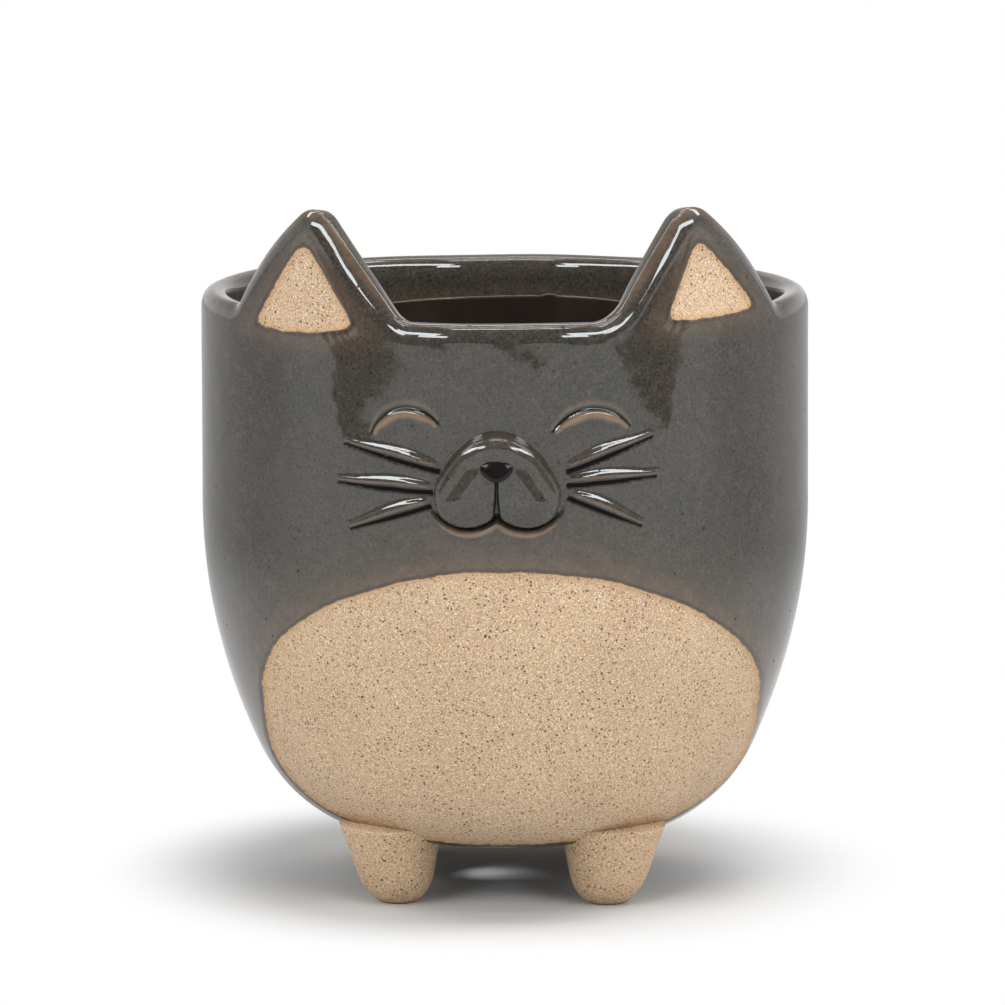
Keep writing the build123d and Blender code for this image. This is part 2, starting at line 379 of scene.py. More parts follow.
def whisker_relief(arc_place, height):
    """Each whisker is a ridge of pushed-up clay over a shallow cut; both shrink to the outer tip."""
    relief, thin, pool = (np.zeros_like(height) for _ in range(3))
    for start, end in WHISKERS:
        share, beyond, across = stroke(arc_place, height, start, end)
        wide = 1.0 - 0.5 * smooth(0.4, 1.0, share)
        v = across / wide
        ends = bell(beyond / (0.9 * wide))
        cut = np.interp(v, (-0.95, -0.85, 0.15, 0.35, 0.75), (0, -0.01, -WHISKER_CUT, -WHISKER_CUT, 0))
        rise = WHISKER_RIDGE * smooth(0.0, 0.14, share)
        above = 0.75 + 0.8 * smooth(0.0, 0.35, share)
        relief += wide * (rise * ridge(v, 0.95, above, 0.75) + cut) * ends
        thin = np.maximum(thin, 0.75 * bell((v - 0.62) / 0.5) * ends * smooth(0.0, 0.1, share))
        # The cut's bottom is darkened by the pool mark: pooled glaze with painted shade in the groove
        bottom = smooth(-0.85, -0.6, v) * (1 - smooth(0.15, 0.4, v))
        pool = np.maximum(pool, bottom * smooth(0.2, 0.6, ends))
    return relief, thin, pool


def eye_relief(arc_place, height):
    """Each closed eye is a fine cut along an arc, with a soft lid swelling under it."""
    relief, thin, pool = (np.zeros_like(height) for _ in range(3))
    for start, end, rise in EYES:
        a = (math.radians(start[0]) * BODY_RADIUS, start[1])
        b = (math.radians(end[0]) * BODY_RADIUS, end[1])
        (cx, cy), radius = circle_over(a, b, rise)
        middle = math.atan2((a[1] + b[1]) / 2 - cy, (a[0] + b[0]) / 2 - cx)
        half = math.asin(math.hypot(b[0] - a[0], b[1] - a[1]) / 2 / radius)
        turn = np.arctan2(height - cy, arc_place - cx) - middle
        turn = np.abs(np.arctan2(np.sin(turn), np.cos(turn)))
        across = np.hypot(arc_place - cx, height - cy) - radius
        beyond = np.maximum(turn - half, 0) * radius
        wide = 1.0 - 0.45 * smooth(0.45, 1.0, turn / half)
        v = across / wide
        ends = bell(beyond / (0.9 * wide))
        relief += wide * (EYE_LID * ridge(v, -1.15, 1.05, 2.3) - EYE_CUT * bell(v / 0.6)) * ends
        crests = np.maximum(ridge(v, -1.2, 0.75, 1.3), 0.35 * bell((v - 0.9) / 0.8))
        thin = np.maximum(thin, crests * ends)
        # The cut is darkened by the pool mark: pooled glaze with painted shade in the groove
        pool = np.maximum(pool, bell(v / 0.62) * ends)
    return relief, thin, pool


def cheek_depth(arc_place, height):
    """Distance inside the muzzle's sides: a band round a crown and a lobe circle each side, and a brow."""
    sides = []
    for side in (-1, 1):
        ax, ay = side * CROWN[0], CROWN[1]
        bx, by = side * LOBE[0], LOBE[1]
        size = math.hypot(bx - ax, by - ay)
        ux, uy = (bx - ax) / size, (by - ay) / size
        px, py = arc_place - ax, height - ay
        y = px * ux + py * uy
        x = np.abs(px * uy - py * ux)
        b = (CROWN_RADIUS - LOBE_RADIUS) / size
        a = math.sqrt(1 - b * b)
        k = -b * x + a * y
        at_crown = np.hypot(x, y) - CROWN_RADIUS
        at_lobe = np.hypot(x, y - size) - LOBE_RADIUS
        between = x * a + y * b - CROWN_RADIUS
        sides.append(-np.where(k < 0, at_crown, np.where(k > a * size, at_lobe, between)))
    brow = BROW_RADIUS - np.hypot(arc_place, height - BROW_Z)
    return BROW_BLEND * np.logaddexp(np.maximum(*sides) / BROW_BLEND, brow / BROW_BLEND)


def smile_depth(arc_place, height):
    """Distance above the smile: two shallow arcs side by side, open upwards."""
    across = np.abs(arc_place) - SMILE[0]
    low = SMILE_RADIUS - np.hypot(across, np.minimum(height - SMILE[1], 0))
    return np.where(height > SMILE[1], low + (height - SMILE[1]), low)


def muzzle_depth(arc_place, height):
    """Distance inside the whole muzzle, and a share that is 1 where the smile is the nearest edge."""
    cheek, smile = cheek_depth(arc_place, height), smile_depth(arc_place, height)
    return np.minimum(cheek, smile), smooth(-0.8, 0.8, cheek - smile)


def mouth_relief(arc_place, height):
    """The mouth: a cut that follows the smile between its corners, with a low lip of clay under it."""
    away = -smile_depth(arc_place, height)
    ends = smooth(-0.9, 0.3, cheek_depth(arc_place, height + 1.0))
    ends = np.maximum(ends, np.abs(arc_place) < 6)
    cut = bell((away - 0.1) / 0.44) * ends
    lip = ridge(-away, -1.25, 0.9, 1.7) * ends
    # The cut is also given back as the pool mark: pooled glaze with painted shade in the mouth line
    return -MOUTH_CUT * cut + MOUTH_LIP * lip, bell((away - 1.3) / 0.95) * ends, cut


def belly_inside(x, height):
    """Distance inside the belly oval, measured from its middle; its lower half is the squarer one."""
    dx, dz = x - BELLY_MIDDLE[0], height - BELLY_MIDDLE[1]
    power = np.where(dz > 0, 2.0, 2.0 + 1.0 * smooth(0, 12, -dz))
    wobble = 1 + 0.004 * np.sin(0.21 * x + 0.3) + 0.003 * np.sin(0.47 * x + 0.11 * height)
    across, up = np.abs(dx / BELLY_HALF_WIDTH), np.abs(dz / BELLY_HALF_HEIGHT)
    size = (across**power + up**power) ** (1 / power)
    size = np.maximum(size * wobble, 0.05)
    return np.hypot(dx, dz) * (1 / size - 1)


def patch_inside(turn, height):
    """Distance inside either ear's bare triangle: its base bowed, its apex blunt, its corners softened."""
    best = np.full_like(height, FAR_FROM_CLAY)
    for apex, low_left, low_right, sag, blunt in EAR_PATCHES:
        corners = [(math.radians(t) * BODY_RADIUS, z) for t, z in (apex, low_left, low_right)]
        s = np.radians(turn) * BODY_RADIUS
        sides = []
        for (ax, ay), (bx, by) in ((corners[0], corners[1]), (corners[2], corners[0])):
            size = math.hypot(bx - ax, by - ay)
            sides.append(((s - ax) * -(by - ay) + (height - ay) * (bx - ax)) / size)
        (cx, cy), radius = circle_over(corners[2], corners[1], sag)
        sides.append(radius - np.hypot(s - cx, height - cy))
        sides.append(corners[0][1] - blunt - height)
        stack = np.stack(sides)
        soft = -PATCH_ROUND * np.log(np.sum(np.exp(-np.clip(stack, -30, 30) / PATCH_ROUND), 0))
        best = np.maximum(best, soft)
    return best


def outside_line():
    """The pot's outside from the drain to the straight wall: flat base, round, corner, side and wall."""
    base_z = BASE_Z + BASE_ROUND
    base_x = CORNER_REACH + math.sqrt((CORNER_RADIUS - BASE_ROUND) ** 2 - (CORNER_Z - base_z) ** 2)
    base_turn = math.degrees(math.atan2(base_z - CORNER_Z, base_x - CORNER_REACH))
    return np.concatenate(
        [
            [(DRAIN_RADIUS, BASE_Z)],
            arc((base_x, base_z), BASE_ROUND, -90, base_turn),
            arc((CORNER_REACH, CORNER_Z), CORNER_RADIUS, base_turn, SIDE_TURN),
            arc((BODY_RADIUS - SIDE_RADIUS, STRAIGHT_Z), SIDE_RADIUS, SIDE_TURN, 0),
            [(BODY_RADIUS, FACE_TOP)],
        ]
    )


def inside_line(inset):
    """The pot's inside, inset from the finished wall, from the straight wall down to the drain."""
    corner = CORNER_RADIUS - WALL - inset
    side = SIDE_RADIUS - WALL - inset
    floor = FLOOR_Z + inset
    floor_z = floor + FLOOR_ROUND
    floor_x = CORNER_REACH + math.sqrt((corner - FLOOR_ROUND) ** 2 - (CORNER_Z - floor_z) ** 2)
    floor_turn = math.degrees(math.atan2(floor_z - CORNER_Z, floor_x - CORNER_REACH))
    rising = np.concatenate(
        [
            [(DRAIN_RADIUS, floor)],
            arc((floor_x, floor_z), FLOOR_ROUND, -90, floor_turn),
            arc((CORNER_REACH, CORNER_Z), corner, floor_turn, SIDE_TURN),
            arc((BODY_RADIUS - SIDE_RADIUS, STRAIGHT_Z), side, SIDE_TURN, 0),
            [(INNER_RADIUS - inset, INSIDE_TOP)],
        ]
    )
    return rising[::-1]


def pot_piece(material):
    """The pot as one closed skin: base, outside, lip with ears, inside and drain, as rings round the axis.

    Rings are level up to the top of the face. Above it they turn from level to the lip's own line, so that
    the ears are the wall grown upwards. The lip's section is square to its line.
    """
    turn = spread(-180, 180, lambda t: np.interp(np.abs(t), COLUMN_TURNS, COLUMN_GAPS))[:-1]
    line, normal = along(outside_line(), lambda z: np.interp(z, RING_HEIGHTS, RING_GAPS))
    crest, lean, rise = lip_line(np.append(turn, 180.0))
    crest, lean, rise = crest[:-1], lean[:-1], rise[:-1]
    flat = np.ones_like(turn)

    # The lip's outer side: its tilt grows to a bevel, holds, and turns over a corner to the flat top
    on_ear = smooth(1.0, 8.0, ear_height(turn))
    section = {k: RIM_LIP[k] + (EAR_LIP[k] - RIM_LIP[k]) * on_ear for k in RIM_LIP}
    bevel, swell, corner, long, inner, inside = section.values()
    step = (np.arange(LIP_STEPS)[:, None] + 0.5) / LIP_STEPS
    tilt = bevel * smooth(0.0, 0.3, step) + swell * smooth(0.2, 0.75, step)
    tilt = tilt + (90 - bevel - swell) * smooth(corner, 1.0, step)
    risen = np.cumsum(np.cos(np.radians(tilt)), 0) * long / LIP_STEPS
    drawn_in = np.cumsum(np.sin(np.radians(tilt)), 0) * long / LIP_STEPS
    tall = risen[-1]

    # Straight wall up to the foot of the lip
    share = np.linspace(0, 1, UPPER_RINGS + 1)[1:, None]
    foot_turn = turn - np.degrees(tall * lean / BODY_RADIUS)
    foot_z = crest - tall * rise
    upper_turn = turn + (foot_turn - turn) * share
    upper_z = FACE_TOP + (foot_z - FACE_TOP) * share

    turns = np.concatenate([line[:, :1] * 0 + turn, upper_turn])
    radii = np.concatenate([line[:, :1] * flat, BODY_RADIUS + 0 * upper_z])
    heights = np.concatenate([line[:, 1:] * flat, upper_z])
    out_r = np.concatenate([normal[:, :1] * flat, 1 + 0 * upper_z])
    out_z = np.concatenate([normal[:, 1:] * flat, 0 * upper_z])

    # Relief and marks of the outside
    s = np.radians(turns) * BODY_RADIUS
    whisker = whisker_relief(s, heights)
    eye = eye_relief(s, heights)
    mouth = mouth_relief(s, heights)
    x = radii * np.sin(np.radians(turns))
    bare = np.maximum(belly_inside(x, heights), FAR_FROM_CLAY)
    bare = bare - (bare - FAR_FROM_CLAY) * smooth(*BELLY_FADE, np.abs(turns))
    bare = np.where(heights < BASE_Z + 0.8, FAR_FROM_CLAY, bare)
    bare = np.maximum(bare, patch_inside(turns, heights))
    roll = 0.10 * bell((bare + 0.5) / 0.8)
    raised = wall_wave(turns, heights) * smooth(BASE_Z, BASE_Z + 12, heights)
    raised = raised + whisker[0] + eye[0] + mouth[0] - CLAY_RECESS * smooth(-0.3, 0.5, bare) + roll
    radii = radii + raised * out_r
    heights = heights + raised * out_z
    thin = np.maximum(np.maximum(whisker[1], eye[1]), mouth[1])
    # The pool mark: pooled glaze with painted shade in the whisker, eye and mouth cuts
    pool = np.maximum(np.maximum(whisker[2], eye[2]), mouth[2])

    # Lip: a flat top between the outer side and a longer inner round, with the glaze thin on both corners
    under_turn = np.linspace(0, 90, INNER_LIP_STEPS)[1:, None]
    under = np.radians(under_turn)
    wave = wall_wave(turn, crest)
    up = np.concatenate([risen - tall, inside * (np.cos(under).clip(0) ** LIP_POWER - 1) - LIP_FALL])
    inner_r = INNER_RADIUS + inner * (1 - np.sin(under) ** LIP_POWER)
    lip_r = np.concatenate([BODY_RADIUS - drawn_in, inner_r])
    lip_turn = turn + np.degrees(up * lean / BODY_RADIUS)
    lip_z = crest + up * rise
    worn = np.concatenate([bell((tilt - 50 + 6 * on_ear) / 24), bell((under_turn - 24) / 24) + 0 * turn])
    edge = worn * (0.15 + 0.27 * on_ear)

    # Inside, hidden behind the liner under the dip line
    down, _ = along(inside_line(0.0), lambda z: np.interp(z, INSIDE_HEIGHTS, (9.0, 5.0, 5.0)))
    fall = np.linspace(0, 1, 9)[1:-1, None]
    band_turn = lip_turn[-1] + (turn - lip_turn[-1]) * fall
    band_z = lip_z[-1] + (INSIDE_TOP - lip_z[-1]) * fall
    behind = GLAZE * (1 - smooth(DIP_Z - 5, DIP_Z - 2, band_z))
    in_turn = np.concatenate([band_turn, down[:, :1] * 0 + turn])
    in_r = np.concatenate([INNER_RADIUS + behind, (down[:, :1] + GLAZE) * flat])
    in_z = np.concatenate([band_z, (down[:, 1:] - GLAZE * (down[:, 1:] < FLOOR_Z + 6)) * flat])
    in_r[-1] = DRAIN_RADIUS

    rings = np.concatenate(
        [
            on_pot(turns, radii, heights),
            on_pot(lip_turn, lip_r + wave, lip_z),
            on_pot(in_turn, in_r, in_z),
        ]
    )
    quiet = np.zeros_like(in_z)
    # Painted light: a faint brown lightening of the inside through the thin mark, for the band above the
    # dip line
    painted_light_inside = np.full_like(in_z, 0.06)
    marks = {
        "bare": np.concatenate([bare, FAR_FROM_CLAY + 0 * lip_z, FAR_FROM_CLAY + quiet]),
        "thin": np.concatenate([thin, edge, painted_light_inside]),
        "pool": np.concatenate([pool, 0 * lip_z, quiet]),
    }
    return fill_mesh("pot", rings, material, close_rings=True, marks=marks)


def dip_line(turn):
    """Height of the liner's upper edge: bowed up at the back, with a slow wave and one small drip."""
    t = np.radians(turn)
    drip = 0.45 * bell((turn - 172.3) / 2.2)
    bow = 2.4 * bell((180 - np.abs(turn)) / 65)
    return DIP_Z - 1.9 + bow + 0.14 * np.sin(5 * t) + 0.10 * np.sin(9 * t + 1.0) + drip


def liner_piece(material):
    """The inside skin under the dip line, coloured near black, as one closed skin: its shown face down wall
    and floor, then its back.
    """
    turn = spread(-180, 180, lambda t: np.interp(np.abs(t), LINER_TURNS, LINER_GAPS))[:-1]
    flat = np.ones_like(turn)
    top = dip_line(turn)
    wave = wall_wave(turn, top)
    down, _ = along(inside_line(LINER_PROUD), lambda z: np.interp(z, INSIDE_HEIGHTS, (5.0, 2.2, 2.2)))
    bead = np.radians(np.linspace(0, 180, 7))[:, None]
    face_r = INNER_RADIUS + 0.22 + BEAD_RADIUS * np.cos(bead) + wave
    face_z = top + BEAD_RADIUS * np.sin(bead) - 0.3
    share = np.array([0.05, 0.17, 0.33, 0.5, 0.67, 0.83])[:, None]
    band_z = face_z[-1] + (INSIDE_TOP - face_z[-1]) * share
    band_r = INNER_RADIUS - LINER_PROUD + wave + 0 * band_z
    ease = smooth(FLOOR_Z, FLOOR_Z + 20, down[:, 1:])
    shown_r = np.concatenate([face_r, band_r, down[:, :1] + wave * ease])
    shown_z = np.concatenate([face_z, band_z, down[:, 1:] * flat])
    back_r = (down[::-1, :1] + LINER_DEEP) * flat
    back_z = (down[::-1, 1:] - LINER_DEEP * (down[::-1, 1:] < FLOOR_Z + 6)) * flat
    back_r[0] = shown_r[-1]
    rings = on_pot(
        turn + 0 * np.concatenate([shown_r, back_r]),
        np.concatenate([shown_r, back_r]),
        np.concatenate([shown_z, back_z]),
    )
    edge = np.concatenate([0 * bead + 0.7, [[0.1]], np.zeros((len(rings) - len(bead) - 1, 1))])
    return fill_mesh("liner", rings, material, close_rings=True, marks={"thin": edge * flat})


def muzzle_height(arc_place, height):
    """How far the muzzle stands off the wall: a dome over its outline, with a fold down each cheek.

    The dome's slope is steep by the outline and then gentle, and the crown is highest. A narrow groove runs
    down from under the nose and opens into the smile.
    """
    depth, mouth = muzzle_depth(arc_place, height)
    width = DOME_WIDTH + (SMILE_WIDTH - DOME_WIDTH) * mouth
    reach = np.linspace(0, 1, 201)
    slope = DOME_STEEP * (1 - smooth(0.06, 0.42, reach)) + DOME_GENTLE * (1 - smooth(0.4, 1.0, reach))
    risen = np.cumsum(slope) - slope[0]
    dome = np.interp(np.clip(depth / width, 0, 1), reach, risen / risen[-1])
    proud = SMILE_PROUD + (CROWN_PROUD - SMILE_PROUD) * smooth(78.0, 85.0, height)
    proud = proud * (1 - CHEEK_FALL * (arc_place / CHEEK_REACH) ** 2)
    proud = proud + 0.025 * (height - 88)
    run = np.clip((GROOVE_TOP - height) / (GROOVE_TOP - GROOVE_FOOT), 0, 1)
    groove = bell(arc_place / (0.42 + 0.9 * run**3)) * smooth(0, 0.15, run)
    outer = (np.abs(arc_place) - 5.9) * 0.84 + (height - 88.8) * 0.54
    fold = 0.40 * smooth(-1.8, 1.8, outer) * (1 - smooth(90.5, 95.5, height))
    fold = fold * smooth(0.5, 4.0, depth)
    off = (proud - fold) * dome - (0.6 + 0.4 * run) * groove * np.clip(dome * 2, 0, 1)
    return off + np.minimum(depth, 0) * (0.5 + 2.2 * mouth), groove


def muzzle_piece(material):
    """The muzzle as rings from its middle out to just past its outline, then back inside the wall."""
    turn = np.radians(np.arange(240) * 1.5 + 0.75)
    reach = np.linspace(0, 18, 721)[:, None]
    middle_z = CROWN[1]
    inside = muzzle_depth(reach * np.sin(turn), middle_z - reach * np.cos(turn))[0] > -0.5
    limit = reach[inside.argmin(0), 0]
    share = np.linspace(0, 1, 66)[1:, None] ** 0.8
    s, z = share * limit * np.sin(turn), middle_z - share * limit * np.cos(turn)
    off, groove = muzzle_height(s, z)
    around = np.degrees(s / BODY_RADIUS)
    front = on_pot(around, BODY_RADIUS + wall_wave(around, z) + off - MUZZLE_SINK, z)
    back = on_pot(around[[-1, 30]], BODY_RADIUS - MUZZLE_SEAT, z[[-1, 30]])
    depth, mouth = muzzle_depth(s, z)
    crest = smooth(0.8, 1.8, depth) * (1 - smooth(2.4, 4.6, depth)) * (0.25 + 0.75 * smooth(86, 94, z))
    # Painted shade via the pool mark on the top ledge and over the mouth; pooled glaze in the groove
    ledge_shade = 0.34 * (1 - smooth(0.9, 1.7, depth)) * (1 - mouth) * smooth(86, 92, z)
    pool = np.maximum(np.maximum(groove, ledge_shade), bell(depth / 0.3) * mouth)
    blank = np.zeros((2, len(turn)))
    marks = {"thin": np.concatenate([0.03 * crest, blank]), "pool": np.concatenate([pool, blank])}
    tip_off, _ = muzzle_height(np.zeros(1), np.full(1, middle_z))
    tip = at_front(BODY_RADIUS + wall_wave(0.0, middle_z) + tip_off - MUZZLE_SINK, middle_z)
    heel = at_front(BODY_RADIUS - MUZZLE_SEAT, middle_z)
    rings = np.concatenate([front, back])
    return fill_mesh("raised_muzzle", rings, material, poles=(tip, heel), marks=marks)


def nose_piece(material):
    """The nose as rings: a wide rounded triangle, point down, with a low dome for its face."""
    turn = np.radians(np.arange(96) * 3.75)
    x_rim = NOSE_HALF_WIDTH * np.sin(turn) * (1 - 0.26 * np.cos(turn)) / 1.02
    z_rim = -NOSE_HEIGHT / 2 * np.cos(turn) * (1 - 0.10 * np.sin(turn) ** 2)
    share = np.concatenate([np.linspace(0, 0.86, 20)[1:], [0.91, 0.95, 0.98, 1.0]])[:, None]
    top = NOSE_PROUD * np.sqrt(1 - share**5)
    s, z = share * x_rim, NOSE_Z + share * z_rim
    seat, _ = muzzle_height(np.zeros(1), np.full(1, NOSE_Z))
    base = BODY_RADIUS + wall_wave(0.0, NOSE_Z) + float(seat[0]) - 0.2
    lean = 0.16 * (NOSE_Z - z)
    around = np.degrees(s / base)
    curve = 0.02 * s**2
    front = on_pot(around, base + top + lean - curve, z)
    back = on_pot(around[[-1, 10]], base - NOSE_SEAT - curve[[-1, 10]], z[[-1, 10]])
    tip = at_front(base + NOSE_PROUD, NOSE_Z)
    heel = at_front(base - NOSE_SEAT, NOSE_Z)
    return fill_mesh("nose_bead", np.concatenate([front, back]), material, poles=(tip, heel))


def leg_piece(name, side, end, material):
    """A leg as level rings: a splayed cone leaning outwards as it rises, with a soft round at its foot."""
    turn = np.radians(np.arange(120) * 3.0)
    z = np.concatenate([[0.0], 0.15 * np.arange(1, 9) ** 1.5, np.linspace(3.9, LEG_TOP_Z, 14)])[:, None]
    lift = np.clip(1 - z / FOOT_ROUND_HEIGHT, 0, 1)
    radius = LEG_FOOT_RADIUS + LEG_SPLAY * z - FOOT_ROUND_DEPTH * (1 - np.sqrt(1 - lift**2))
    radius = radius * (1 + 0.012 * np.sin(2 * turn + side) + 0.008 * np.sin(3 * turn + 2 * end))
    away = math.hypot(*LEG_SPREAD)
    x = side * (LEG_SPREAD[0] + LEG_LEAN * z * LEG_SPREAD[0] / away) + radius * np.cos(turn)
    y = AXIS_Y + end * (LEG_SPREAD[1] + LEG_LEAN * z * LEG_SPREAD[1] / away) + radius * np.sin(turn)
    rings = np.stack([x, y, z + 0 * x], -1)
    return fill_mesh(name, rings, material, poles=(rings[0].mean(0), rings[-1].mean(0)))


# Finishes

CLAY_DARK, CLAY_PALE = (0.535, 0.372, 0.229, 1), (0.587, 0.420, 0.266, 1)
CLAY_GRAIN = (0.37, 0.225, 0.125, 1)
CLAY_SAND = (0.85, 0.68, 0.49, 1)
CLAY_FLASH = (0.50, 0.27, 0.10, 1)
FINE_SPECK = (0.20, 0.11, 0.06, 1)
MIDDLE_SPECK = (0.060, 0.030, 0.016, 1)
LARGE_SPECK = (0.035, 0.025, 0.02, 1)
GLAZE_DARK, GLAZE_PALE = (0.040, 0.035, 0.029, 1), (0.052, 0.045, 0.037, 1)
GLAZE_MOTTLE = (0.062, 0.051, 0.041, 1)
GLAZE_GRAIN = (0.082, 0.069, 0.056, 1)
GLAZE_GRAIN_DARK = (0.022, 0.018, 0.015, 1)
GLAZE_THIN = (0.22, 0.140, 0.085, 1)
# Near black for pooled glaze and for painted shade in cuts, grooves and under edges
GLAZE_POOL_SHADE = (0.006, 0.005, 0.005, 1)
GLAZE_RUST = (0.085, 0.040, 0.030, 1)
GLAZE_PIT = (0.020, 0.004, 0.003, 1)
GLAZE_TINT = (0.92, 1.0, 1.02, 1)
GLAZE_IOR = 1.62
LINER_DARK, LINER_PALE = (0.018, 0.0135, 0.011, 1), (0.028, 0.020, 0.016, 1)
LINER_EDGE = (0.10, 0.055, 0.03, 1)
LINER_PIT = (0.05, 0.035, 0.025, 1)
NOSE_DARK, NOSE_PALE = (0.006, 0.005, 0.005, 1), (0.012, 0.010, 0.009, 1)

# Depths of the bumps in metres, and the share of the clay's depth that the outer glaze keeps
CLAY_BUMP = 0.00010
LINER_BUMP = 0.00004
NOSE_BUMP = 0.00003
COAT_SHARE = 0.25


def node(tree, kind, settings=None, **inputs):
    """A shader node with its settings, and its inputs set or linked by name, or as n0, n1 by number."""
    made = tree.nodes.new(kind)
    for name, value in (settings or {}).items():
        setattr(made, name, value)
    for name, value in inputs.items():
        key = int(name[1:]) if name[1:].isdigit() else name.replace("_", " ")
        socket = made.inputs[key]
        if isinstance(value, bpy.types.NodeSocket):
            tree.links.new(value, socket)
        else:
            socket.default_value = value
    return made


def math_node(tree, operation, first, second=0.0, third=0.0, clamp=False):
    """One arithmetic step."""
    steps = {"operation": operation, "use_clamp": clamp}
    return node(tree, "ShaderNodeMath", steps, n0=first, n1=second, n2=third).outputs[0]


def vector_node(tree, operation, **inputs):
    """One arithmetic step on vectors."""
    return node(tree, "ShaderNodeVectorMath", {"operation": operation}, **inputs).outputs


def mix_colours(tree, share, first, second):
    """A colour between two, by share."""
    return node(tree, "ShaderNodeMix", {"data_type": "RGBA"}, n0=share, n6=first, n7=second).outputs[2]


def stain(tree, colour, mask, most, tint):
    """A colour with a tint laid over it where mask is 1, at most by a share."""
    return mix_colours(tree, math_node(tree, "MULTIPLY", mask, most), colour, tint)


def mix_values(tree, share, first, second):
    """A value between two, by share."""
    return node(tree, "ShaderNodeMix", {"data_type": "FLOAT"}, n0=share, n2=first, n3=second).outputs[0]


def ease(tree, value, low, high):
    """0 under low and 1 over high, with level ends."""
    settings = {"interpolation_type": "SMOOTHSTEP"}
    return node(tree, "ShaderNodeMapRange", settings, Value=value, From_Min=low, From_Max=high).outputs[0]


def noise(tree, place, scale, detail=2.0, roughness=0.5):
    """Smooth noise round 0.5 on the piece's own coordinates."""
    inputs = {"Vector": place, "Scale": scale, "Detail": detail, "Roughness": roughness}
    return node(tree, "ShaderNodeTexNoise", None, **inputs).outputs["Fac"]


def new_group(name, inputs, outputs):
    """An empty node group with its named sockets."""
    group = bpy.data.node_groups.new(name, "ShaderNodeTree")
    for label, kind, value in inputs:
        socket = group.interface.new_socket(label, in_out="INPUT", socket_type=kind)
        if value is not None:
            socket.default_value = value
    for label, kind in outputs:
        group.interface.new_socket(label, in_out="OUTPUT", socket_type=kind)
    return group, group.nodes.new("NodeGroupInput").outputs, group.nodes.new("NodeGroupOutput")


def put_out(tree, result, **outputs):
    """Links values to a group's outputs by name."""
    for label, value in outputs.items():
        tree.links.new(value, result.inputs[label])


FLOAT, COLOUR, VECTOR = "NodeSocketFloat", "NodeSocketColor", "NodeSocketVector"


def specks_group():
    """Round grains scattered in the clay: one to a cell, of mixed size, only in a share of the cells."""
    tree, given, result = new_group(
        "iron_specks",
        [("Place", VECTOR, None), ("Scale", FLOAT, 900.0), ("Share", FLOAT, 0.3), ("Size", FLOAT, 0.3)],
        [("Mask", FLOAT)],
    )
    wobble = node(tree, "ShaderNodeTexNoise", None, Vector=given["Place"], Scale=2600.0, Detail=1.0)
    bent = vector_node(tree, "SCALE", n0=wobble.outputs["Color"], Scale=0.00022)[0]
    place = vector_node(tree, "ADD", n0=given["Place"], n1=bent)[0]
    cell = node(tree, "ShaderNodeTexVoronoi", None, Vector=place, Scale=given["Scale"])
    chance = node(tree, "ShaderNodeSeparateColor", None, Color=cell.outputs["Color"])
    shown = math_node(tree, "LESS_THAN", chance.outputs[0], given["Share"])
    grown = mix_values(tree, chance.outputs[1], 0.35, 1.0)
    radius = math_node(tree, "MULTIPLY", grown, given["Size"])
    inside = math_node(tree, "SUBTRACT", radius, cell.outputs["Distance"])
    rim = math_node(tree, "MULTIPLY", given["Size"], 0.35)
    soft = math_node(tree, "DIVIDE", inside, rim, clamp=True)
    put_out(tree, result, Mask=math_node(tree, "MULTIPLY", soft, shown))
    return tree


def place_group(tree, group, **inputs):
    """A node group placed in a material."""
    return node(tree, "ShaderNodeGroup", {"node_tree": group}, **inputs).outputs


def clay_group(specks):
    """Bare fired clay: warm buff with sandy grain, dark iron specks of three sizes, and orange flashing."""
    tree, given, result = new_group(
        "bare_clay",
        [("Place", VECTOR, None), ("Flash", FLOAT, 0.0)],
        [("Color", COLOUR), ("Roughness", FLOAT), ("Height", FLOAT)],
    )
    place = given["Place"]
    cloud = noise(tree, place, 55.0, 3.0)
    grain = noise(tree, place, 2300.0, 2.0, 0.6)
    sand = noise(tree, place, 3400.0, 1.0)
    colour = mix_colours(tree, ease(tree, cloud, 0.32, 0.68), CLAY_DARK, CLAY_PALE)
    colour = mix_colours(tree, ease(tree, grain, 0.56, 0.30), colour, CLAY_GRAIN)
    colour = mix_colours(tree, ease(tree, sand, 0.46, 0.74), colour, CLAY_SAND)
    colour = stain(tree, colour, given["Flash"], 0.55, CLAY_FLASH)
    fine = place_group(tree, specks, Place=place, Scale=2100.0, Share=0.75, Size=0.42)[0]
    middle = place_group(tree, specks, Place=place, Scale=1250.0, Share=0.85, Size=0.36)[0]
    large = place_group(tree, specks, Place=place, Scale=420.0, Share=0.3, Size=0.15)[0]
    colour = stain(tree, colour, fine, 0.5, FINE_SPECK)
    colour = stain(tree, colour, middle, 0.9, MIDDLE_SPECK)
    colour = stain(tree, colour, large, 0.95, LARGE_SPECK)
    height = math_node(tree, "MULTIPLY_ADD", grain, 0.6, sand)
    put_out(tree, result, Color=colour, Roughness=mix_values(tree, grain, 0.72, 0.92), Height=height)
    return tree


